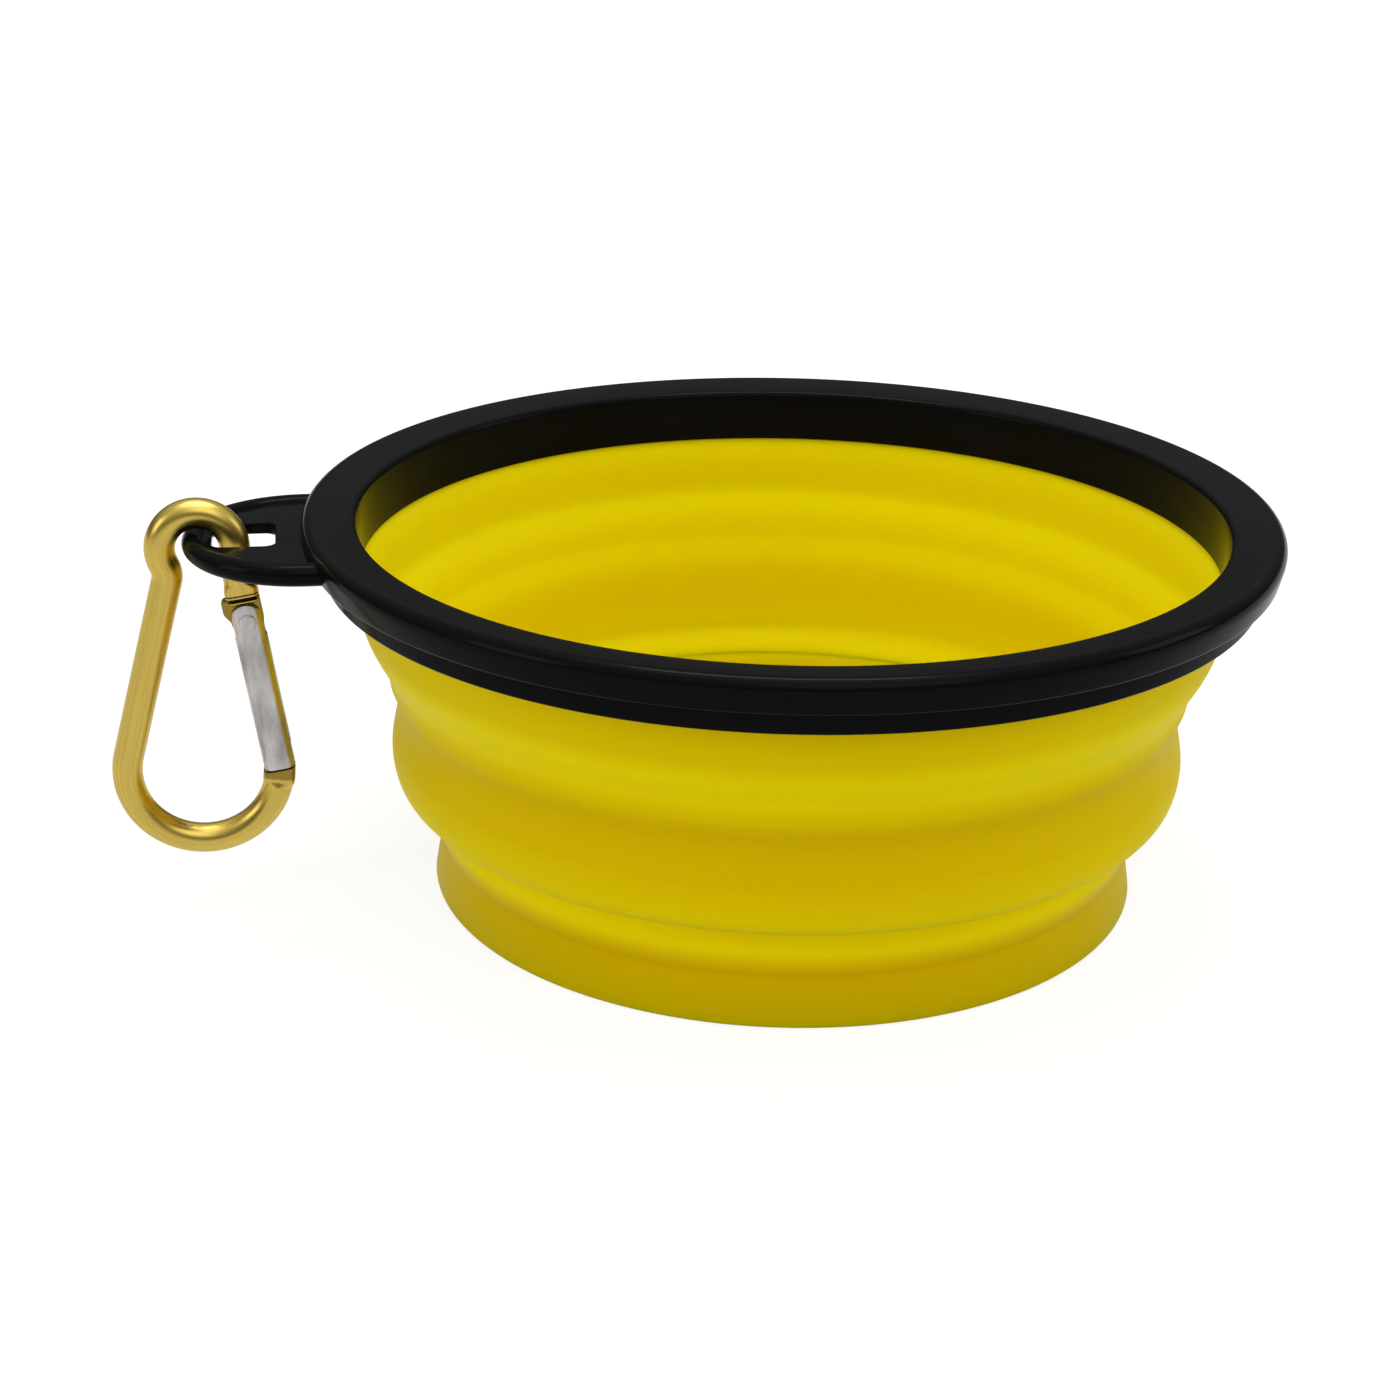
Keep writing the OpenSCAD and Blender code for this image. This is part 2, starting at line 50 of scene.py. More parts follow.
# Silicone cup: tiers, creases and walls, from the outside
TIER1_R = 58.0
TIER2_R = 54.0
TIER3_R = 48.0
WALL_T = 1.8
CREASE_T = 1.3
FLOOR_T = 2.2
SHOULDER3_Z = 11.0
CREASE2_Z = 12.7
TIER2_FOOT_Z = 15.1
SHOULDER2_Z = 30.7
CREASE1_Z = 33.2
TIER1_FOOT_Z = 35.6
BAND_Z = 45.15
FLANGE_Z = 48.3
CREASE1_R = 53.7
CREASE2_R = 46.4
TIER1_FOOT_IN = 0.6
SHOULDER_LEAD = 0.5
WAIST_IN = 1.6
WAIST_SHARE = 0.74
BELLY_LEAD = 0.1
BELLY_SHARE = 0.3
TIER2_H = SHOULDER2_Z - TIER2_FOOT_Z
TIER2_FOOT_IN = 0.9
SIDE_R = 47.2
SIDE_TOP_Z = 6.6
SIDE_Z = 5.6
BASE_R = 48.3
FOOT_BEND = 3.0
SHOULDER_BEND = 2.8
CREASE_BEND = 1.6
SOFT_BEND = 8.0
BASE_BEND = 0.4
FLOOR_BEND = 3.0

# How often the cup's bends are eased: all of the outside, its upper crease and the inside
OUTSIDE_EASE = 14
CREASE_EASE = 110
INSIDE_EASE = 24
# The heights between which the outside's upper crease is eased
UPPER_CREASE = (42.0, 30.0)
# Below these drops from the band and from the slant, the cup's bends are eased
OUTSIDE_DROP = 1.0
INSIDE_DROP = 0.5
# The two pieces of the cup meet in the lower crease, at these heights of the outer and the
# inner face
SEAM_Z = 13.0
SEAM_IN_Z = 13.4

# Rim: inner wall, flange and the silicone that it clamps
MOUTH_R = 57.2
WALL_BACK_R = 58.9
BEAD_IN_R = 59.0
BEAD_OUT_R = 61.5
NECK_OUT_R = 60.15
FLARE_R = 59.0
FLARE_FOOT_Z = 41.85
NECK_Z = 45.1
NECK_TOP_Z = 46.7
NECK_FOOT_Z = 43.07
BEAD_Z = 48.4
BEAD_TOP_Z = 50.2
SLANT_Z = 44.8
SLANT_TOP_Z = 46.3
LIP_EDGE_T = 0.4
CHANNEL_R = 62.3
CHANNEL_TOP_Z = 50.3
BAND_R = 62.2
RIM_R = 65.0
CROWN_LEAD = 0.35
SKIRT_LEAN = 1.15
LIP_Z = 52.0
CROWN_Z = 53.2
MOUTH_DRAFT = 0.55
FIT_GAP = 0.1
# Rounding of the rim's edges: mouth's foot, mouth's lip, crown, flange, and the band's two
MOUTH_ROUND = 0.15
LIP_ROUND = 0.9
CROWN_ROUND = 1.8
FLANGE_ROUND = 0.5
BAND_IN_ROUND = 0.1
BAND_OUT_ROUND = 0.35

# Hanging tab
TAB_X = -64.3
TAB_Z = 49.8
TAB_BEND_R = 14.3
TAB_BEAD_R = 1.5
TAB_EMBED = 2.3
PLATE_Z = 49.0
PLATE_T = 1.6
PLATE_IN_R = 63.0
SLOT_WEB = 0.9
SLOT_L = 8.1
SLOT_W = 9.5
SLOT_CORNER_R = 1.5
PLATE_BEVEL = 0.25
# How far a cutter reaches past the faces that it cuts
CUT_PAST = 1.0

# Snap hook, drawn about its loop's centre in the XZ plane
ROD_R = 2.0
LOOP_R = 4.8
BOW_R = 10.0
BOW_C = Vector((-0.8, -31.1))
SPINE_D = 2.9
GATE_D = 4.35
NECK_R = 3.0
LOOP_C = Vector((-78.146, 48.909))
RIVET_DROP = 10.65
GATE_R = 2.15
GATE_FLAT_T = 3.4
GATE_FOOT_DROP = 1.5
FOOT_GAP = 0.15
GATE_CROWN_R = 2.3
COLLAR_GAP = 0.25
COLLAR_H = 1.4
# The rod's flattened end below the gate, measured from the bottom bend's end
NOSE_FLAT = 3.4
# Beyond the flattened ends, the lengths over which the rod turns round again
COLLAR_FADE = (0.2, 1.6)
NOSE_FADE = 0.5
# How much wider and thinner than the round rod its flattened ends are, and how square
COLLAR_WIDER = 0.2
COLLAR_THINNER = 0.3
NOSE_WIDER = 0.12
NOSE_THINNER = 0.25
FLAT_SQUARE = 2.5
# The collar's groove, above its lower face, and the chamfer at that face
GROOVE_AT = 0.48
GROOVE_H = 0.22
GROOVE_DEEP = 0.42
COLLAR_CHAMFER = 0.25
# The tang that the rivet passes through, and its heel beside the gate
TANG_R = 2.15
TANG_FLAT = 1.9
TANG_T = 1.6
TANG_SUNK = 0.6
HEEL_OUT = 2.9
HEEL_H = 1.4
HEEL_TOP = 0.3
HEEL_CHAMFER = 0.35
HEEL_BEND = 1.2
TANG_BEVEL = 0.18
# The nose's blade, which the gate's slot closes over
BLADE_IN = -1.2
BLADE_OUT = 1.6
BLADE_T = 1.4
BLADE_DROP = 1.6
BLADE_RISE = 3.0
BLADE_ROUND = 0.7
BLADE_BEVEL = 0.15
# The rivet's hole, and the gate's fork, foot slot and spring bore
RIVET_HOLE_R = 0.85
FORK_T = 1.8
FORK_DEPTH = 2.45
FOOT_IN = -1.35
FOOT_RISE = 3.3
FOOT_T = 1.6
BORE_R = 1.15
BORE_L = 11.0
BORE_Z = -6.5
GATE_CHAMFER = 0.12
FLAT_PROUD = 0.02
CROWN_TIP_R = 0.3
# How sharply the gate's round section ends at its crown and at its flats
CROWN_POWER = 20
FLAT_POWER = 14
GATE_BEVEL = 0.08
GATE_BEVEL_ANGLE = math.radians(50)
# Cutters are this wide, and reach this far out from the gate's axis
CUTTER_T = 6.0
CUTTER_REACH = 5.0
NOSE_CUT_REACH = 6.0
NOSE_CUT_T = 8.0
# The rivet's heads, as (radius, height above the gate's flat)
RIVET_HEAD = [(0.45, 0.13), (0.85, 0.17), (1.05, 0.12), (1.12, 0.0), (0.8, -0.05)]

# Steps of the meshes
TURN_STEPS = 240
CORNER_STEPS = 8
ROUND_STEPS = 48
BEAD_STEPS = 64
BEAD_SIDES = 32
ROD_SIDES = 40
GATE_SIDES = 96
GATE_STEP = 0.5
CROWN_STEPS = 14
TANG_STEPS = 12
ARC_STEP = 0.35
ROD_STEP = 0.5
COLLAR_STEP = 0.12
LINE_STEP = 0.6
SHARP_ANGLE = math.radians(38)
# Points nearer than this are one point, in metres
SAME_POINT = 1e-7
# Points nearer the axis than this lie on it
ON_AXIS = 1e-6


def unit(v):
    """The vector of length 1 along v."""
    return v / v.length


def heading(angle):
    """The direction at an angle, in a plane."""
    return Vector((math.cos(angle), math.sin(angle)))


def sweep(start, end, steps):
    """Angles from start to end in equal steps."""
    return [start + (end - start) * i / steps for i in range(steps + 1)]


def full_turn(steps):
    """Angles all round from zero, in equal steps."""
    return sweep(0, math.tau, steps)[:-1]


def corner(before, at, after, radius, inset=0.0):
    """Points of an arc that rounds the corner at, drawn inset to the right of the path."""
    a, b = unit(before - at), unit(after - at)
    half = a.angle(b) / 2
    room = min((before - at).length, (after - at).length) * 0.49
    fit = min(radius, room * math.tan(half))
    turn_right = (at - before).x * (after - at).y - (at - before).y * (after - at).x < 0
    arc_r = fit - inset if turn_right else fit + inset
    middle = unit(a + b)
    if arc_r <= 0:
        return [at + middle * (inset / math.sin(half))]
    centre = at + middle * (fit / math.sin(half))
    start = at + a * (fit / math.tan(half)) - centre
    end = at + b * (fit / math.tan(half)) - centre
    angle = math.atan2(start.y, start.x)
    turn = math.remainder(math.atan2(end.y, end.x) - angle, math.tau)
    return [centre + heading(angle + turn * i / CORNER_STEPS) * arc_r
            for i in range(CORNER_STEPS + 1)]


def rounded(corners, closed=True):
    """An outline of (x, y, radius) corners with each corner rounded by its radius."""
    places = [Vector(c[:2]) for c in corners]
    points = []
    for i, (x, y, radius) in enumerate(corners):
        open_end = not closed and i in (0, len(corners) - 1)
        if radius == 0 or open_end:
            points.append(Vector((x, y)))
        else:
            points += corner(places[i - 1], places[i], places[(i + 1) % len(places)], radius)
    return points


def wall_side(corners, on):
    """One face of a wall that follows (x, y, bend, thickness) corners."""
    places = [Vector(c[:2]) for c in corners]
    first = unit(places[1] - places[0])
    last = unit(places[-1] - places[-2])
    points = [places[0] + Vector((first.y, -first.x)) * (on * corners[0][3])]
    for i in range(1, len(corners) - 1):
        points += corner(places[i - 1], places[i], places[i + 1], corners[i][2], on * corners[i][3])
    points.append(places[-1] + Vector((last.y, -last.x)) * (on * corners[-1][3]))
    return points


def dense(points, step=LINE_STEP, closed=False):
    """The same line with points no further than step apart."""
    ends = points[1:] + ([points[0]] if closed else [])
    out = []
    for a, b in zip(points, ends):
        count = max(1, math.ceil((b - a).length / step))
        out += [a.lerp(b, i / count) for i in range(count)]
    if not closed:
        out.append(points[-1])
    return out


def mark_sharp(bm):
    """Makes all faces smooth, and the edges sharp where the faces bend sharply."""
    for face in bm.faces:
        face.smooth = True
    for edge in bm.edges:
        if len(edge.link_faces) == 2:
            edge.smooth = edge.calc_face_angle(0.0) < SHARP_ANGLE


def finish_mesh(name, bm):
    """An object from bm, without doubled points and with its sharp edges marked."""
    bmesh.ops.remove_doubles(bm, verts=bm.verts, dist=SAME_POINT)
    bmesh.ops.recalc_face_normals(bm, faces=bm.faces)
    mark_sharp(bm)
    mesh = bpy.data.meshes.new(name)
    bm.to_mesh(mesh)
    bm.free()
    piece = bpy.data.objects.new(name, mesh)
    bpy.context.scene.collection.objects.link(piece)
    return piece


def resharpen(piece):
    """Marks the sharp edges again after a modifier has changed the mesh."""
    bm = bmesh.new()
    bm.from_mesh(piece.data)
    mark_sharp(bm)
    bm.to_mesh(piece.data)
    bm.free()


def lathe(name, outline, marks=None):
    """A closed outline of (radius, height) points spun about Z. Each point's mark, if there are
    any, is kept in a UV layer."""
    bm = bmesh.new()
    uv = bm.loops.layers.uv.new("profile") if marks else None
    rings = []
    for p in outline:
        if p.x < ON_AXIS:
            rings.append([bm.verts.new((0, 0, p.y * MM))] * TURN_STEPS)
            continue
        rings.append([bm.verts.new((p.x * MM * math.cos(t), p.x * MM * math.sin(t), p.y * MM))
                      for t in full_turn(TURN_STEPS)])
    for row, (a, b) in enumerate(zip(rings, rings[1:] + rings[:1])):
        for i in range(TURN_STEPS):
            j = (i + 1) % TURN_STEPS
            ring = [a[i], a[j], b[j], b[i]]
            corners = [v for k, v in enumerate(ring) if v not in ring[:k]]
            if len(corners) < 3:
                continue
            face = bm.faces.new(corners)
            if marks:
                for loop in face.loops:
                    near = row if loop.vert in (a[i], a[j]) else (row + 1) % len(rings)
                    loop[uv].uv = marks[near]
    return finish_mesh(name, bm)


def prism(name, near_points, far_points):
    """A solid between two outlines of as many points."""
    bm = bmesh.new()
    near = [bm.verts.new(p * MM) for p in near_points]
    far = [bm.verts.new(p * MM) for p in far_points]
    bm.faces.new(near)
    bm.faces.new(list(reversed(far)))
    for i in range(len(near)):
        j = (i + 1) % len(near)
        bm.faces.new([near[i], far[i], far[j], near[j]])
    return finish_mesh(name, bm)


def extrude_xz(name, outline, thickness, place):
    """A closed outline in the XZ plane, thickness wide along Y and centred on it."""
    return prism(name, *[[place @ Vector((p.x, y, p.y)) for p in outline]
                         for y in (-thickness / 2, thickness / 2)])


def extrude_xy(name, outline, low, high):
    """A closed outline in the XY plane between two heights."""
    return prism(name, *[[Vector((p.x, p.y, z)) for p in outline] for z in (low, high)])


def apply_modifier(piece, kind, **settings):
    """Adds a modifier, applies it to the mesh and removes it."""
    modifier = piece.modifiers.new(kind.lower(), kind)
    for key, value in settings.items():
        setattr(modifier, key, value)
    graph = bpy.context.evaluated_depsgraph_get()
    mesh = bpy.data.meshes.new_from_object(piece.evaluated_get(graph))
    piece.modifiers.remove(modifier)
    piece.data = mesh
    resharpen(piece)


def combine(piece, other, operation):
    """Unites piece with other, or cuts other from it, and removes other."""
    apply_modifier(piece, "BOOLEAN", object=other, operation=operation, solver="EXACT")
    bpy.data.objects.remove(other)


def bevel(piece, width, segments=3, angle=SHARP_ANGLE):
    """Rounds the edges of piece that are sharper than an angle."""
    apply_modifier(piece, "BEVEL", width=width * MM, segments=segments, limit_method="ANGLE",
                   angle_limit=angle, harden_normals=False)


# Silicone cup

def cup_faces():
    """The cup's outer and inner faces, each from the rim down, and the floor between them."""
    side_foot_r = SIDE_R + (BASE_R - SIDE_R) * (SIDE_TOP_Z - SIDE_Z) / SIDE_TOP_Z
    wall = [
        (TIER1_R, FLARE_FOOT_Z, 0, WALL_T),
        (TIER1_R - TIER1_FOOT_IN, TIER1_FOOT_Z, FOOT_BEND, WALL_T),
        (CREASE1_R, CREASE1_Z, CREASE_BEND, CREASE_T),
        (TIER2_R + SHOULDER_LEAD, SHOULDER2_Z, SHOULDER_BEND, WALL_T),
        (TIER2_R - WAIST_IN, TIER2_FOOT_Z + TIER2_H * WAIST_SHARE, SOFT_BEND, WALL_T),
        (TIER2_R + BELLY_LEAD, TIER2_FOOT_Z + TIER2_H * BELLY_SHARE, SOFT_BEND, WALL_T),
        (TIER2_R - TIER2_FOOT_IN, TIER2_FOOT_Z, FOOT_BEND, WALL_T),
        (CREASE2_R, CREASE2_Z, CREASE_BEND, CREASE_T),
        (TIER3_R + SHOULDER_LEAD, SHOULDER3_Z, SHOULDER_BEND, WALL_T),
        (SIDE_R, SIDE_TOP_Z, SOFT_BEND, WALL_T),
        (side_foot_r, SIDE_Z, 0, WALL_T),
    ]
    neck_outer = [Vector(p) for p in ((BEAD_OUT_R, BEAD_TOP_Z), (BEAD_OUT_R, BEAD_Z),
                                      (NECK_OUT_R, BEAD_Z), (NECK_OUT_R, NECK_TOP_Z),
                                      (FLARE_R, NECK_Z))]
    neck_inner = [Vector(p) for p in ((BEAD_IN_R, BEAD_TOP_Z), (BEAD_IN_R, SLANT_TOP_Z),
                                      (TIER1_R - WALL_T, NECK_FOOT_Z))]
    base = corner(Vector((side_foot_r, SIDE_Z)), Vector((BASE_R, 0)), Vector((0, 0)), BASE_BEND)
    inside = side_foot_r - WALL_T
    floor = corner(Vector((0, FLOOR_T)), Vector((inside, FLOOR_T)), Vector((inside, SHOULDER3_Z)),
                   FLOOR_BEND)
    outer = neck_outer + wall_side(wall, 0)
    inner = neck_inner + wall_side(wall, 1)
    return outer, inner, base + [Vector((0, 0))], [Vector((0, FLOOR_T))] + floor


def split(line, height):
    """The parts of a falling line above and below a height, which both end in the crossing."""
    for i, (a, b) in enumerate(zip(line, line[1:])):
        if a.y >= height > b.y:
            crossing = a.lerp(b, (a.y - height) / (a.y - b.y))
            return line[:i + 1] + [crossing], [crossing] + line[i + 1:]
    raise ValueError("the line doesn't cross that height")


def soften(line, passes, top_z, low_z=-1.0):
    """The line with its bends eased between two heights, and its ends as they were."""
    line = list(line)
    first = next(i for i, p in enumerate(line) if p.y < top_z)
    last = next((i for i, p in enumerate(line) if p.y < low_z), len(line) - 1)
    for _ in range(passes):
        line[first:last] = [(line[i - 1] + line[i] * 2 + line[i + 1]) / 4
                            for i in range(first, last)]
    return line


def marked_lathe(name, outer, inner):
    """A lathe whose marks are the face, 0 outside and 1 inside, and the height in metres."""
    marks = [(0, p.y * MM) for p in outer] + [(1, p.y * MM) for p in inner]
    return lathe(name, outer + inner, marks)


def make_cup():
    """The silicone cup, in two pieces that meet in its lower crease."""
    outer, inner, base, floor = cup_faces()
    outer, inner = dense(outer), dense(inner)
    outer = soften(outer, OUTSIDE_EASE, BAND_Z - OUTSIDE_DROP)
    outer = soften(outer, CREASE_EASE, *UPPER_CREASE)
    inner = soften(inner, INSIDE_EASE, SLANT_Z - INSIDE_DROP)
    outer_top, outer_low = split(outer, SEAM_Z)
    inner_top, inner_low = split(inner, SEAM_IN_Z)
    upper = marked_lathe("silicone_cup_upper", outer_top, inner_top[::-1])
    lower = marked_lathe("silicone_cup_lower", outer_low + dense(base)[1:],
                         dense(floor) + inner_low[::-1])
    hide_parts("silicone_upper_wall", "silicone_upper_fold", "silicone_middle_ring")
    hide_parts("silicone_lower_fold", "silicone_base_cup")
    for piece in (upper, lower):
        dress(piece, silicone_material())
    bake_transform(upper)
    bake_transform(lower)


# Rim

def make_rim_ring():
    """The rim's upper ring with its inner wall, its channel and the tab."""
    section = rounded([
        (MOUTH_R, SLANT_Z, MOUTH_ROUND),
        (MOUTH_R + MOUTH_DRAFT, LIP_Z, LIP_ROUND),
        (RIM_R + CROWN_LEAD, CROWN_Z, CROWN_ROUND),
        (RIM_R + CROWN_LEAD - SKIRT_LEAN, FLANGE_Z, FLANGE_ROUND),
        (CHANNEL_R, FLANGE_Z, 0),
        (CHANNEL_R, CHANNEL_TOP_Z, 0),
        (WALL_BACK_R, CHANNEL_TOP_Z, 0),
        (WALL_BACK_R, SLANT_TOP_Z, 0),
        (MOUTH_R + LIP_EDGE_T, SLANT_Z, 0),
    ])
    ring = lathe("rim_ring_shell", section)
    combine(ring, tab_plate(), "UNION")
    combine(ring, tab_bead(), "UNION")
    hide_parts("rim_ring")
    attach(ring, "rim")
    dress(ring, plastic_material())


def tab_plate():
    """The plate inside the tab's bead, with its slot."""
    arc = [Vector((TAB_X, 0)) + Vector((-math.sin(t), math.cos(t))) * TAB_BEND_R
           for t in sweep(0, math.pi, ROUND_STEPS)]
    reach = math.sqrt(PLATE_IN_R ** 2 - TAB_BEND_R ** 2)
    start = math.atan2(-TAB_BEND_R, -reach)
    end = math.atan2(TAB_BEND_R, -reach) - math.tau
    rim_side = [heading(t) * PLATE_IN_R for t in sweep(start, end, ROUND_STEPS)]
    plate = extrude_xy("tab_plate", arc + rim_side, PLATE_Z, PLATE_Z + PLATE_T)
    tip = TAB_X - TAB_BEND_R + TAB_BEAD_R + SLOT_WEB
    slot = rounded([
        (tip, -SLOT_W / 2, SLOT_CORNER_R),
        (tip + SLOT_L, -SLOT_W / 2, SLOT_CORNER_R),
        (tip + SLOT_L, SLOT_W / 2, SLOT_CORNER_R),
        (tip, SLOT_W / 2, SLOT_CORNER_R),
    ])
    cutter = extrude_xy("slot", slot, PLATE_Z - CUT_PAST, PLATE_Z + PLATE_T + CUT_PAST)
    combine(plate, cutter, "DIFFERENCE")
    bevel(plate, PLATE_BEVEL)
    return plate


def tab_bead():
    """The round bead along the tab's edge."""
    path = [(Vector((TAB_X + TAB_EMBED, TAB_BEND_R)), Vector((0, 1)))]
    for t in sweep(0, math.pi, BEAD_STEPS):
        out = Vector((-math.sin(t), math.cos(t)))
        path.append((Vector((TAB_X, 0)) + out * TAB_BEND_R, out))
    path.append((Vector((TAB_X + TAB_EMBED, -TAB_BEND_R)), Vector((0, -1))))
    bm = bmesh.new()
    rings = []
    for centre, out in path:
        ring = []
        for a in full_turn(BEAD_SIDES):
            p = centre + out * (TAB_BEAD_R * math.cos(a))
            ring.append(bm.verts.new(Vector((p.x, p.y, TAB_Z + TAB_BEAD_R * math.sin(a))) * MM))
        rings.append(ring)
    bridge(bm, rings)
    return finish_mesh("tab_bead", bm)


def bridge(bm, rings):
    """Faces between neighbouring rings, and a cap on each end."""
    count = len(rings[0])
    for a, b in zip(rings, rings[1:]):
        for j in range(count):
            k = (j + 1) % count
            bm.faces.new([a[j], a[k], b[k], b[j]])
    bm.faces.new(rings[0])
    bm.faces.new(list(reversed(rings[-1])))


def make_clamp_band():
    """The band that sits in the ring's channel and holds the cup's bead."""
    section = rounded([
        (FLARE_R + FIT_GAP, BAND_Z, BAND_IN_ROUND),
        (NECK_OUT_R + FIT_GAP, NECK_TOP_Z, 0),
        (NECK_OUT_R + FIT_GAP, FLANGE_Z, 0),
        (BEAD_OUT_R + FIT_GAP, FLANGE_Z, 0),
        (BEAD_OUT_R + FIT_GAP, BEAD_TOP_Z, 0),
        (BAND_R, BEAD_TOP_Z, 0),
        (BAND_R, BAND_Z, BAND_OUT_ROUND),
    ])
    band = lathe("clamp_band_shell", section)
    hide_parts("rim_clamp_band")
    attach(band, "rim")
    dress(band, plastic_material())


# Snap hook

def lean_frame(distance, towards):
    """Normal, direction and lean of a line that touches the bow and passes the loop's centre
    at a distance. towards is -1 for the spine and 1 for the gate."""
    bow_lean = math.atan2(-BOW_C.x, -BOW_C.y)
    lean = math.asin((BOW_R - distance) / BOW_C.length) - towards * bow_lean
    n = Vector((towards * math.cos(lean), math.sin(lean)))
    u = Vector((-towards * math.sin(lean), math.cos(lean)))
    return n, u, lean


SPINE_N, SPINE_U, _ = lean_frame(SPINE_D, -1)
GATE_N, GATE_U, GATE_LEAN = lean_frame(GATE_D, 1)
RIVET_C = GATE_N * GATE_D - GATE_U * RIVET_DROP
GATE_L = (RIVET_C - BOW_C).dot(GATE_U) + GATE_FOOT_DROP


def neck_centre(n, u, distance):
    """Centre of the bend between the loop and a straight with normal n and direction u."""
    reach = math.sqrt((LOOP_R + NECK_R) ** 2 - (distance + NECK_R) ** 2)
    return n * (distance + NECK_R) - u * reach


def arc_points(centre, radius, start, end):
    """Points and outward normals of an arc in the XZ plane, from one heading to another."""
    a, b = math.atan2(start.y, start.x), math.atan2(end.y, end.x)
    if b < a:
        b += math.tau
    count = max(2, math.ceil((b - a) * radius / ARC_STEP))
    return [(centre + heading(t) * radius, heading(t)) for t in sweep(a, b, count)]


def line_points(start, end, normal, step=ROD_STEP):
    """Points between the ends of a line, each with the line's normal."""
    count = max(1, math.ceil((end - start).length / step))
    return [(start.lerp(end, i / count), normal) for i in range(1, count)]


def hook_path():
    """Centres and outward normals of the rod, from the nose round the bow to the collar."""
    spine_neck = neck_centre(SPINE_N, SPINE_U, SPINE_D)
    gate_neck = neck_centre(GATE_N, GATE_U, GATE_D)
    path = arc_points(BOW_C, BOW_R, SPINE_N, GATE_N)[::-1]
    foot, head = BOW_C + SPINE_N * BOW_R, spine_neck - SPINE_N * NECK_R
    path += line_points(foot, head, SPINE_N)
    neck = arc_points(spine_neck, NECK_R, -SPINE_N, -spine_neck)
    path += [(p, -n) for p, n in neck]
    loop = arc_points(Vector((0, 0)), LOOP_R, gate_neck, spine_neck)
    path += loop[::-1][1:]
    neck = arc_points(gate_neck, NECK_R, -gate_neck, -GATE_N)
    path += [(p, -n) for p, n in neck][1:]
    head = gate_neck - GATE_N * NECK_R
    collar = RIVET_C + GATE_U * (GATE_CROWN_R + COLLAR_GAP)
    path += line_points(head, collar, GATE_N, COLLAR_STEP)
    path.append((collar, GATE_N))
    return path


def blend_step(value, low, high):
    """A smooth step from 0 at low to 1 at high."""
    t = min(1.0, max(0.0, (value - low) / (high - low)))
    return t * t * (3 - 2 * t)


def rod_section(to_collar, from_nose):
    """Half widths across the plane and along Y, and squareness, of the rod at its distances
    from the collar's lower face and from the nose."""
    flat = 1 - blend_step(to_collar, COLLAR_H + COLLAR_FADE[0], COLLAR_H + COLLAR_FADE[1])
    nose = 1 - blend_step(from_nose, NOSE_FLAT, NOSE_FLAT + NOSE_FADE)
    across = ROD_R + COLLAR_WIDER * flat + NOSE_WIDER * nose
    deep = ROD_R - COLLAR_THINNER * flat - NOSE_THINNER * nose
    square = 2 + FLAT_SQUARE * max(flat, nose)
    cut = math.exp(-((to_collar - GROOVE_AT) / GROOVE_H) ** 4) * GROOVE_DEEP
    edge = max(0.0, COLLAR_CHAMFER - to_collar)
    shrink = cut + edge
    return across - shrink, deep - shrink, square


def run_lengths(path):
    """The length of the path from its start to each of its points."""
    lengths = [0.0]
    for (a, _), (b, _) in zip(path, path[1:]):
        lengths.append(lengths[-1] + (b - a).length)
    return lengths


def make_rod():
    """The bent rod, with its length and its turn kept in a UV layer."""
    path = hook_path()
    lengths = run_lengths(path)
    total = lengths[-1]
    bm = bmesh.new()
    uv = bm.loops.layers.uv.new("along")
    rings = []
    for (centre, normal), run in zip(path, lengths):
        across, deep, square = rod_section(total - run, run)
        ring = []
        for a in full_turn(ROD_SIDES):
            c, s = math.cos(a), math.sin(a)
            c = math.copysign(abs(c) ** (2 / square), c) * across
            s = math.copysign(abs(s) ** (2 / square), s) * deep
            p = LOOP_C + centre + normal * c
            ring.append(bm.verts.new(Vector((p.x, s, p.y)) * MM))
        rings.append(ring)
    for i, (a, b) in enumerate(zip(rings, rings[1:])):
        for j in range(ROD_SIDES):
            k = (j + 1) % ROD_SIDES
            face = bm.faces.new([a[j], a[k], b[k], b[j]])
            spots = ((i, j), (i, j + 1), (i + 1, j + 1), (i + 1, j))
            for loop, (row, column) in zip(face.loops, spots):
                loop[uv].uv = (lengths[row] * MM, column / ROD_SIDES)
    bm.faces.new(rings[0])
    bm.faces.new(list(reversed(rings[-1])))
    return finish_mesh("hook_rod", bm)


def at_rivet():
    """The place of a piece drawn about the rivet, with Z up along the gate and X outwards."""
    spot = LOOP_C + RIVET_C
    turn = Matrix.Rotation(-GATE_LEAN, 4, "Y")
    return Matrix.Translation((spot.x, 0, spot.y)) @ turn


def tang_outline():
    """The tang about the rivet: round and cut flat below, and sunk in the collar above."""
    collar_z = GATE_CROWN_R + COLLAR_GAP
    half = math.sqrt(TANG_R ** 2 - TANG_FLAT ** 2)
    start = math.atan2(-TANG_FLAT, half)
    turns = sweep(start, 0, TANG_STEPS)
    low = [heading(t) * TANG_R for t in turns]
    up = [Vector((TANG_R, collar_z + TANG_SUNK)),
          Vector((-HEEL_OUT + HEEL_CHAMFER, collar_z + TANG_SUNK)),
          Vector((-HEEL_OUT, collar_z + HEEL_TOP))]
    heel = corner(Vector((-HEEL_OUT, collar_z)), Vector((-HEEL_OUT, collar_z - HEEL_H)),
                  Vector((-TANG_R, 0)), HEEL_BEND)
    back = [Vector((-math.cos(t), math.sin(t))) * TANG_R for t in reversed(turns)]
    return low + up + heel + back


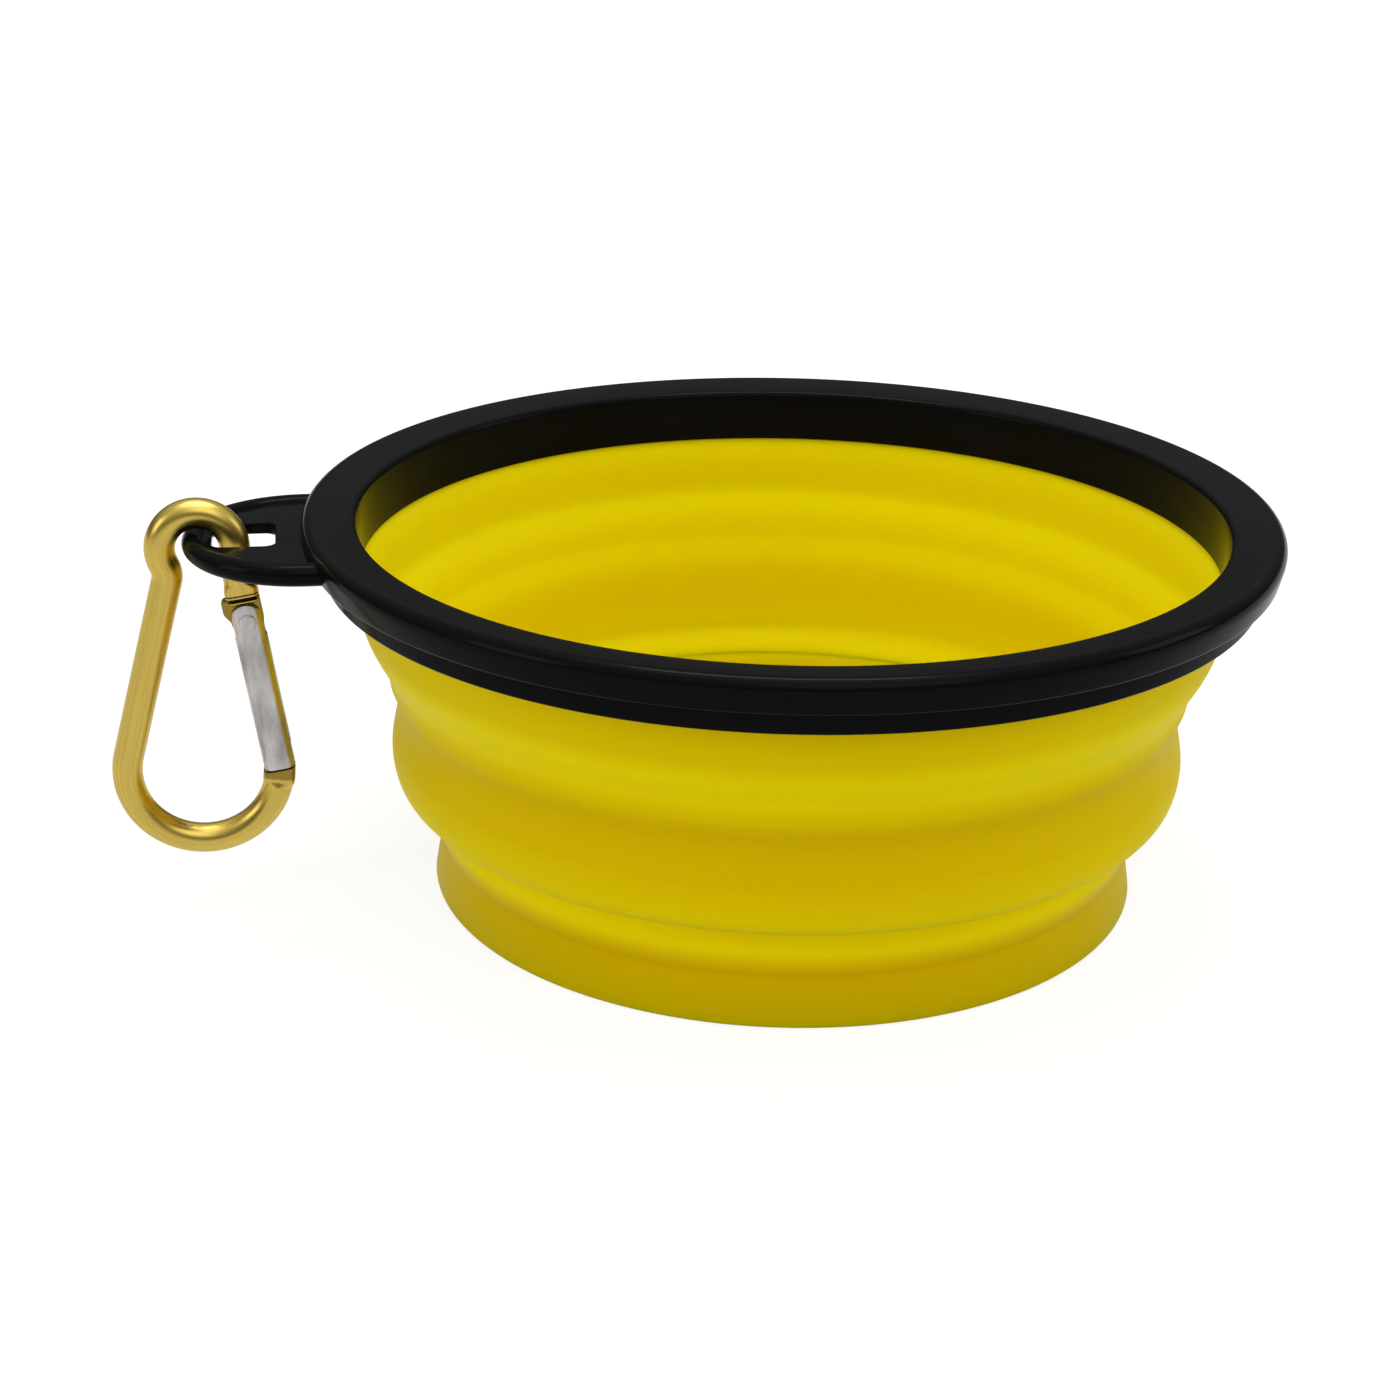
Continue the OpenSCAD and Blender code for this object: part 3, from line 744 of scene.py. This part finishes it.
def make_hook():
    """The hook's rod with its tang and its nose."""
    place = at_rivet()
    body = make_rod()
    above_nose = box_corners(-NOSE_CUT_REACH, NOSE_CUT_REACH, -GATE_L - FOOT_GAP, -GATE_L / 2)
    combine(body, extrude_xz("above_nose", above_nose, NOSE_CUT_T, place), "DIFFERENCE")
    tang = extrude_xz("tang", tang_outline(), TANG_T, place)
    bevel(tang, TANG_BEVEL)
    combine(body, tang, "UNION")
    low, high = -GATE_L - BLADE_DROP, -GATE_L + BLADE_RISE
    blade = rounded([(BLADE_IN, low, 0), (BLADE_OUT, low, 0),
                     (BLADE_OUT, high, BLADE_ROUND), (BLADE_IN, high, BLADE_ROUND)])
    nose = extrude_xz("nose", blade, BLADE_T, place)
    bevel(nose, BLADE_BEVEL)
    combine(body, nose, "UNION")
    combine(body, pin("hole", RIVET_HOLE_R, CUTTER_T, place), "DIFFERENCE")
    body.name = "hook_body"
    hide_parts("carabiner_body")
    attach(body, "carabiner")
    dress(body, gold_material())


def pin(name, radius, length, place):
    """A round pin along Y."""
    outline = [heading(t) * radius for t in full_turn(ROUND_STEPS)]
    return extrude_xz(name, outline, length, place)


def box_corners(left, right, low, high):
    """The corners of an upright rectangle, in turn."""
    return [Vector(p) for p in ((left, low), (right, low), (right, high), (left, high))]


def soft_limit(value, limit, power):
    """The value, eased to a limit on either side of zero, more sharply for a higher power."""
    return value / (1 + abs(value / limit) ** power) ** (1 / power)


def make_gate():
    """The gate: a bar with two flats, a fork, a slot for the nose and a bore for the spring."""
    place = at_rivet()
    straight = math.ceil((GATE_L - GATE_CHAMFER) / GATE_STEP)
    rows = [-GATE_L] + [-GATE_L + GATE_CHAMFER + i * GATE_STEP for i in range(straight)]
    top = [GATE_CROWN_R * math.sin(t) for t in sweep(0, math.pi / 2, CROWN_STEPS)]
    top[-1] -= FLAT_PROUD
    bm = bmesh.new()
    rings = []
    for row, z in enumerate(rows + top):
        reach = math.sqrt(GATE_CROWN_R ** 2 - max(0.0, z) ** 2)
        shrink = 1 - (GATE_CHAMFER if row == 0 else 0.0) / GATE_R
        ring = []
        for a in full_turn(GATE_SIDES):
            x = soft_limit(math.cos(a) * GATE_R, max(reach, CROWN_TIP_R), CROWN_POWER)
            y = soft_limit(math.sin(a) * GATE_R, GATE_FLAT_T / 2 + FLAT_PROUD, FLAT_POWER)
            ring.append(bm.verts.new(place @ Vector((x * shrink, y * shrink, z)) * MM))
        rings.append(ring)
    bridge(bm, rings)
    gate = finish_mesh("gate_bar", bm)
    fork = box_corners(-CUTTER_REACH, CUTTER_REACH, -FORK_DEPTH, CUTTER_REACH)
    combine(gate, extrude_xz("fork", fork, FORK_T, place), "DIFFERENCE")
    foot = box_corners(FOOT_IN, CUTTER_REACH, -GATE_L - CUT_PAST, -GATE_L + FOOT_RISE)
    combine(gate, extrude_xz("foot", foot, FOOT_T, place), "DIFFERENCE")
    bore = place @ Matrix.Translation((0, 0, BORE_Z)) @ Matrix.Rotation(math.pi / 2, 4, "X")
    combine(gate, pin("bore", BORE_R, BORE_L, bore), "DIFFERENCE")
    combine(gate, pin("hole", RIVET_HOLE_R, CUTTER_T, place), "DIFFERENCE")
    bevel(gate, GATE_BEVEL, 2, GATE_BEVEL_ANGLE)
    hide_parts("carabiner_gate")
    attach(gate, "gate")
    dress(gate, bare_metal_material())


def make_rivet():
    """The rivet's shaft and its two low peened heads."""
    place = at_rivet()
    half = GATE_FLAT_T / 2
    head = [(radius, half + height) for radius, height in RIVET_HEAD]
    bm = bmesh.new()
    rings = []
    for radius, y in head + [(r, -y) for r, y in reversed(head)]:
        ring = [Vector((radius * math.cos(a), y, radius * math.sin(a)))
                for a in full_turn(ROUND_STEPS)]
        rings.append([bm.verts.new(place @ p * MM) for p in ring])
    bridge(bm, rings)
    rivet = finish_mesh("rivet_pin", bm)
    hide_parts("gate_rivet")
    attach(rivet, "gate")
    dress(rivet, bare_metal_material())


# Materials

WHITE = (1, 1, 1, 1)
# Most of a noise's values lie between these
NOISE_LOW, NOISE_HIGH = 0.3, 0.7
# A Mix node's sockets for colours
MIX_A, MIX_B, MIX_RESULT = 6, 7, 2


def grey(value):
    """A linear grey."""
    return (value, value, value, 1)


def linear(*colour):
    """A linear colour from 8-bit display values, by the sRGB curve."""
    return tuple((c / 255 / 12.92) if c < 11 else ((c / 255 + 0.055) / 1.055) ** 2.4
                 for c in colour) + (1.0,)


def new_material(name, **settings):
    """A material, its node tree and its Principled shader with some sockets set."""
    material = bpy.data.materials.new(name)
    material.use_nodes = True
    tree = material.node_tree
    shader = tree.nodes["Principled BSDF"]
    for key, value in settings.items():
        shader.inputs[key.replace("_", " ")].default_value = value
    return material, tree, shader


def add_node(tree, kind, **settings):
    """A node with some of its sockets or properties set."""
    node = tree.nodes.new(kind)
    for key, value in settings.items():
        if key in node.inputs:
            node.inputs[key].default_value = value
        else:
            setattr(node, key, value)
    return node


def noise_over(tree, place, scale, detail, stretch):
    """Noise over a socket's coordinates, each of them scaled by its own stretch."""
    mapping = add_node(tree, "ShaderNodeMapping", Scale=stretch)
    texture = add_node(tree, "ShaderNodeTexNoise", Scale=scale, Detail=detail)
    tree.links.new(place, mapping.inputs["Vector"])
    tree.links.new(mapping.outputs["Vector"], texture.inputs["Vector"])
    return texture.outputs["Fac"]


def object_noise(tree, scale, detail=3.0, stretch=(1, 1, 1)):
    """Noise in the object's own coordinates, in metres."""
    place = add_node(tree, "ShaderNodeTexCoord")
    return noise_over(tree, place.outputs["Object"], scale, detail, stretch)


def ramp(tree, source, stops):
    """A colour ramp over source, with (position, colour) stops."""
    node = tree.nodes.new("ShaderNodeValToRGB")
    elements = node.color_ramp.elements
    for i, (position, colour) in enumerate(stops):
        element = elements[i] if i < 2 else elements.new(position)
        element.position = position
        element.color = colour
    tree.links.new(source, node.inputs["Fac"])
    return node.outputs["Color"]


def span(tree, source, low, high, start=0.0, end=1.0):
    """Maps source from low..high to start..end."""
    node = add_node(tree, "ShaderNodeMapRange")
    for key, value in (("From Min", low), ("From Max", high), ("To Min", start), ("To Max", end)):
        node.inputs[key].default_value = value
    tree.links.new(source, node.inputs["Value"])
    return node.outputs["Result"]


def mix_colours(tree, factor, first, second, blend_type="MIX"):
    """Two colours mixed, by a factor that is a number or a socket."""
    node = add_node(tree, "ShaderNodeMix", data_type="RGBA", blend_type=blend_type)
    if isinstance(factor, float):
        node.inputs["Factor"].default_value = factor
    else:
        tree.links.new(factor, node.inputs["Factor"])
    tree.links.new(first, node.inputs[MIX_A])
    tree.links.new(second, node.inputs[MIX_B])
    return node.outputs[MIX_RESULT]


def mix_shaders(tree, factor, first, second):
    """Two shaders mixed: the first where the factor is 0 and the second where it is 1."""
    node = add_node(tree, "ShaderNodeMixShader")
    for place, source in enumerate((factor, first, second)):
        tree.links.new(source, node.inputs[place])
    return node.outputs[0]


def vary_roughness(tree, shader, noise, low, high):
    """Roughness on the shader from low to high, by a noise."""
    tree.links.new(span(tree, noise, NOISE_LOW, NOISE_HIGH, low, high),
                   shader.inputs["Roughness"])


def add_bump(tree, shader, height, strength, distance):
    """Bumps on the shader, distance high in metres."""
    bump = add_node(tree, "ShaderNodeBump", Strength=strength, Distance=distance)
    tree.links.new(height, bump.inputs["Height"])
    tree.links.new(bump.outputs["Normal"], shader.inputs["Normal"])


MATERIALS = {}


def cached(make):
    """Makes each material once."""
    def get():
        if make.__name__ not in MATERIALS:
            MATERIALS[make.__name__] = make()
        return MATERIALS[make.__name__]
    return get


# Scales of the materials' noises, per metre
SILICONE_CLOUD, SILICONE_GRAIN = 160.0, 2600.0
PLASTIC_CLOUD, PLASTIC_SMEAR, PLASTIC_GRAIN = 60.0, 220.0, 3200.0
STREAK_SCALE = (60.0, 40.0, 1.0)
SCRATCH_SCALE, SCRATCH_STRETCH = 420.0, (1.0, 1.0, 0.35)
STEEL_CLOUD = 900.0

# Painted light and shade on the silicone: the palest colour is painted light, the full, deep and
# darker inner colours are painted shade, and the plain and inner colours are the silicone's own
SILICONE_PAINTED_SHADES = {
    "painted_light": (253, 226, 4),
    "plain": (231, 209, 1),
    "full": (219, 194, 1),
    "deep": (214, 188, 0),
    "inner": (233, 214, 2),
    "inner_painted_shade": (225, 207, 1),
}
# Heights along the cup, from the base up, at which each colour lies. Outside, painted shade darkens
# the base and the waist, and painted light brightens both creases and the tier feet beside them;
# inside, painted shade darkens the lower and the upper parts.
SHADE_TOP_Z = 54.0
OUTSIDE_PAINTED_SHADES = [(0.0, "deep"), (7.0, "deep"), (10.0, "painted_light"), (15.5, "painted_light"), (18.5, "plain"),
                  (22.0, "full"), (28.0, "full"), (31.0, "plain"), (33.0, "painted_light"), (36.0, "painted_light"),
                  (39.0, "plain")]
INSIDE_PAINTED_SHADES = [(0.0, "inner_painted_shade"), (13.0, "inner_painted_shade"), (18.0, "inner"), (28.0, "inner"),
                 (34.0, "inner_painted_shade"), (40.0, "inner_painted_shade")]


@cached
def silicone_material():
    """Satin yellow silicone, with light and shade painted into its colour by its height on each of
    the cup's faces.
    """
    material, tree, shader = new_material(
        "yellow_silicone", Roughness=0.5, Specular_IOR_Level=0.06,
        Specular_Tint=(1.0, 0.86, 0.02, 1.0), Subsurface_Weight=0.7, Subsurface_Scale=0.004,
        Subsurface_Radius=(1.0, 0.75, 0.03), Sheen_Weight=0.03, Sheen_Roughness=0.3,
        Sheen_Tint=(1.0, 0.95, 0.5, 1.0))
    mark = add_node(tree, "ShaderNodeUVMap", uv_map="profile")
    parts = add_node(tree, "ShaderNodeSeparateXYZ")
    tree.links.new(mark.outputs["UV"], parts.inputs[0])
    # Painted light and shade: each face's base colour follows its height through the ramp of
    # painted shades
    sides = []
    for shades in (OUTSIDE_PAINTED_SHADES, INSIDE_PAINTED_SHADES):
        stops = [(z / SHADE_TOP_Z, linear(*SILICONE_PAINTED_SHADES[shade])) for z, shade in shades]
        height = span(tree, parts.outputs["Y"], 0.0, SHADE_TOP_Z * MM)
        sides.append(ramp(tree, height, stops))
    tree.links.new(mix_colours(tree, parts.outputs["X"], *sides), shader.inputs["Base Color"])
    vary_roughness(tree, shader, object_noise(tree, SILICONE_CLOUD), 0.46, 0.56)
    add_bump(tree, shader, object_noise(tree, SILICONE_GRAIN, 2.0), 0.12, 0.0001)
    return material


@cached
def plastic_material():
    """Satin black plastic."""
    material, tree, shader = new_material(
        "black_plastic", Roughness=0.15, Specular_IOR_Level=0.04)
    cloud = object_noise(tree, PLASTIC_CLOUD)
    tint = ramp(tree, cloud, [(0.35, linear(12, 12, 13)), (0.7, linear(14, 14, 16))])
    tree.links.new(tint, shader.inputs["Base Color"])
    vary_roughness(tree, shader, object_noise(tree, PLASTIC_SMEAR), 0.13, 0.17)
    add_bump(tree, shader, object_noise(tree, PLASTIC_GRAIN, 2.0), 0.05, 0.00005)
    return material


# Painted shade across the rod: dark lines for the two grooves at the collar, and a dimmer line for
# the gap under the gate's foot. The stops lie along the last GROOVE_SPAN of the rod, and along as
# much from NOSE_LINE on.
GROOVE_SPAN = 2.0
NOSE_LINE = 2.35
GROOVE_PAINTED_SHADE, NOSE_PAINTED_SHADE = (0.03, 0.02, 0.01, 1), (0.5, 0.45, 0.4, 1)
GROOVE_STOPS = [(0.0, WHITE), (0.36, WHITE), (0.4, GROOVE_PAINTED_SHADE), (0.46, GROOVE_PAINTED_SHADE), (0.5, WHITE),
                (0.66, WHITE), (0.7, GROOVE_PAINTED_SHADE), (0.85, GROOVE_PAINTED_SHADE), (0.9, WHITE)]
NOSE_STOPS = [(0.0, NOSE_PAINTED_SHADE), (0.2, NOSE_PAINTED_SHADE), (0.34, WHITE)]


@cached
def gold_material():
    """Gold anodised metal, streaked along the rod, with painted shade for its dark lines."""
    material, tree, shader = new_material("gold_anodised", Metallic=1.0, Roughness=0.28)
    place = add_node(tree, "ShaderNodeUVMap", uv_map="along")
    streak = noise_over(tree, place.outputs["UV"], 1.0, 4.0, STREAK_SCALE)
    tint = ramp(tree, streak, [(0.3, linear(205, 176, 80)), (0.72, linear(232, 203, 104))])
    length = run_lengths(hook_path())[-1]
    parts = add_node(tree, "ShaderNodeSeparateXYZ")
    tree.links.new(place.outputs["UV"], parts.inputs[0])
    # Painted shade: these ramps darken the rod's colour in the collar's grooves and under the
    # gate's foot
    for start, stops in ((length - GROOVE_SPAN, GROOVE_STOPS), (NOSE_LINE, NOSE_STOPS)):
        along = span(tree, parts.outputs["X"], start * MM, (start + GROOVE_SPAN) * MM)
        tint = mix_colours(tree, 1.0, tint, ramp(tree, along, stops), "MULTIPLY")
    tree.links.new(tint, shader.inputs["Base Color"])
    vary_roughness(tree, shader, streak, 0.24, 0.36)
    add_bump(tree, shader, streak, 0.07, 0.00005)
    return material


@cached
def bare_metal_material():
    """Plain scratched metal, for the gate and its rivet."""
    material, tree, shader = new_material("plain_aluminium", Metallic=1.0, Roughness=0.4)
    wear = object_noise(tree, SCRATCH_SCALE, 6.0, SCRATCH_STRETCH)
    tint = ramp(tree, wear, [(0.3, linear(170, 165, 165)), (0.62, linear(228, 224, 224))])
    tree.links.new(tint, shader.inputs["Base Color"])
    vary_roughness(tree, shader, wear, 0.5, 0.32)
    add_bump(tree, shader, wear, 0.3, 0.00008)
    return material


@cached
def steel_material():
    """Steel, for the spring and the plunger."""
    material, tree, shader = new_material("spring_steel", Metallic=1.0, Roughness=0.3)
    wear = object_noise(tree, STEEL_CLOUD)
    tint = ramp(tree, wear, [(0.3, linear(140, 142, 146)), (0.7, linear(168, 170, 174))])
    tree.links.new(tint, shader.inputs["Base Color"])
    return material


def dress(piece, material):
    """Gives a piece its material."""
    piece.data.materials.clear()
    piece.data.materials.append(material)


def dress_hidden_nodes():
    """The spring and the plunger stay as they are inside the gate."""
    for node in ("gate_spring", "gate_plunger"):
        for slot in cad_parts[node].material_slots:
            slot.material = steel_material()


# Camera, floor and light, in metres

# The view that the photograph was taken from, in the part's frame turned by VIEW_TURN
VIEW_TURN = math.radians(11)
VIEW_RISE = math.radians(21.884)
VIEW_ROLL = math.radians(1.790)
VIEW_DISTANCE = 0.355464
VIEW_TARGET = Vector((0, 0, 0.025))
IMAGE_W = 1400
FOCAL_PX = 2590.73
# The target's place in the picture, in pixels from its centre
OFF_RIGHT_PX = 86.03
OFF_UP_PX = -7.24
SENSOR = 36.0
CLIP_START = 0.01


def make_camera():
    """The camera at the photograph's view, turned about the target and rolled."""
    forward = Vector((0, math.cos(VIEW_RISE), -math.sin(VIEW_RISE)))
    up = Vector((0, math.sin(VIEW_RISE), math.cos(VIEW_RISE)))
    right = Vector((1, 0, 0))
    place = VIEW_TARGET - forward * VIEW_DISTANCE
    pan, tilt = math.atan(OFF_RIGHT_PX / FOCAL_PX), math.atan(OFF_UP_PX / FOCAL_PX)
    panned = right * math.cos(pan) + forward * math.sin(pan)
    ahead = forward * math.cos(pan) - right * math.sin(pan)
    tilted = up * math.cos(tilt) - ahead * math.sin(tilt)
    ahead = up * math.sin(tilt) + ahead * math.cos(tilt)
    across = panned * math.cos(VIEW_ROLL) + tilted * math.sin(VIEW_ROLL)
    above = tilted * math.cos(VIEW_ROLL) - panned * math.sin(VIEW_ROLL)
    turn = Matrix((across, above, -ahead)).transposed().to_4x4()
    data = bpy.data.cameras.new("camera")
    data.sensor_width = SENSOR
    data.lens = SENSOR * FOCAL_PX / IMAGE_W
    data.clip_start = CLIP_START
    camera = bpy.data.objects.new("camera", data)
    camera.matrix_world = Matrix.Rotation(-VIEW_TURN, 4, "Z") @ Matrix.Translation(place) @ turn
    bpy.context.scene.collection.objects.link(camera)
    bpy.context.scene.camera = camera


# Strength of the studio's light near the horizon and overhead
HORIZON_LIGHT = 0.85
ZENITH_LIGHT = 0.66
# What shiny surfaces show of the studio: a dim horizon and a bright ceiling, by height
MIRRORED_SKY = [(0.0, 0.04), (0.25, 0.07), (0.45, 0.2), (0.85, 0.36), (0.95, 1.2)]
MIRRORED_LIGHT = 1.8
# The floor's half width and its height
FLOOR_HALF = 6.0
FLOOR_Z = -0.0001
# How much light the floor throws back
FLOOR_WHITE = 0.45
# What the camera sees of the floor: a part that takes the shadow, and a glow
SHADOW_WHITE = 0.3
CAMERA_GLOW = 0.8
# How bright the floor is in reflections
MIRRORED_GLOW = 0.8


def make_floor():
    """A white floor that shows white to the camera and keeps the object's shadow."""
    bm = bmesh.new()
    corners = box_corners(-FLOOR_HALF, FLOOR_HALF, -FLOOR_HALF, FLOOR_HALF)
    bm.faces.new([bm.verts.new((p.x, p.y, FLOOR_Z)) for p in corners])
    floor = finish_mesh("floor", bm)
    material = bpy.data.materials.new("white_floor")
    material.use_nodes = True
    tree = material.node_tree
    tree.nodes.clear()
    out = add_node(tree, "ShaderNodeOutputMaterial")
    path = add_node(tree, "ShaderNodeLightPath")
    plain = add_node(tree, "ShaderNodeBsdfDiffuse", Color=grey(FLOOR_WHITE))
    shaded = add_node(tree, "ShaderNodeBsdfDiffuse", Color=grey(SHADOW_WHITE))
    glow = add_node(tree, "ShaderNodeEmission", Color=WHITE, Strength=CAMERA_GLOW)
    both = add_node(tree, "ShaderNodeAddShader")
    tree.links.new(shaded.outputs[0], both.inputs[0])
    tree.links.new(glow.outputs[0], both.inputs[1])
    white = add_node(tree, "ShaderNodeEmission", Color=WHITE, Strength=MIRRORED_GLOW)
    lit = mix_shaders(tree, path.outputs["Is Glossy Ray"], plain.outputs[0], white.outputs[0])
    seen = mix_shaders(tree, path.outputs["Is Camera Ray"], lit, both.outputs[0])
    tree.links.new(seen, out.inputs["Surface"])
    floor.data.materials.append(material)


def make_world():
    """A white studio that is darker in reflections, and plain white to the camera."""
    world = bpy.data.worlds.new("studio")
    bpy.context.scene.world = world
    world.use_nodes = True
    tree = world.node_tree
    light = tree.nodes["Background"]
    light.inputs["Color"].default_value = WHITE
    heading = add_node(tree, "ShaderNodeTexCoord")
    height = add_node(tree, "ShaderNodeSeparateXYZ")
    tree.links.new(heading.outputs["Generated"], height.inputs[0])
    tree.links.new(span(tree, height.outputs["Z"], 0.0, 1.0, HORIZON_LIGHT, ZENITH_LIGHT),
                   light.inputs["Strength"])
    seen = add_node(tree, "ShaderNodeBackground", Color=WHITE, Strength=1.0)
    path = add_node(tree, "ShaderNodeLightPath")
    dim = add_node(tree, "ShaderNodeBackground", Strength=MIRRORED_LIGHT)
    sky = ramp(tree, height.outputs["Z"], [(at, grey(value)) for at, value in MIRRORED_SKY])
    tree.links.new(sky, dim.inputs["Color"])
    lit = mix_shaders(tree, path.outputs["Is Glossy Ray"], light.outputs[0], dim.outputs[0])
    whole = mix_shaders(tree, path.outputs["Is Camera Ray"], lit, seen.outputs[0])
    tree.links.new(whole, tree.nodes["World Output"].inputs["Surface"])


# The softboxes' names, places, sizes and powers, and the point that they face
SOFTBOXES = [
    ("top_softbox", (0.0, 0.1, 0.75), (0.4, 0.1), 1.4),
    ("left_softbox", (-0.8, -0.25, 0.35), (0.35, 0.35), 0.8),
    ("right_softbox", (0.8, -0.1, 0.4), (0.35, 0.35), 0.6),
    ("front_softbox", (0.1, -0.6, 0.6), (0.6, 0.4), 0.9),
]
LIT_POINT = Vector((0, 0, 0.03))


def make_lights():
    """The soft lamps round the object."""
    for name, place, size, power in SOFTBOXES:
        data = bpy.data.lights.new(name, "AREA")
        data.shape = "RECTANGLE"
        data.size, data.size_y = size
        data.energy = power
        lamp = bpy.data.objects.new(name, data)
        lamp.location = place
        lamp.rotation_euler = (LIT_POINT - Vector(place)).to_track_quat("-Z", "Y").to_euler()
        bpy.context.scene.collection.objects.link(lamp)


make_cup()
make_rim_ring()
make_clamp_band()
make_hook()
make_gate()
make_rivet()
dress_hidden_nodes()
make_camera()
make_floor()
make_world()
make_lights()
bpy.context.scene.view_settings.view_transform = "Standard"
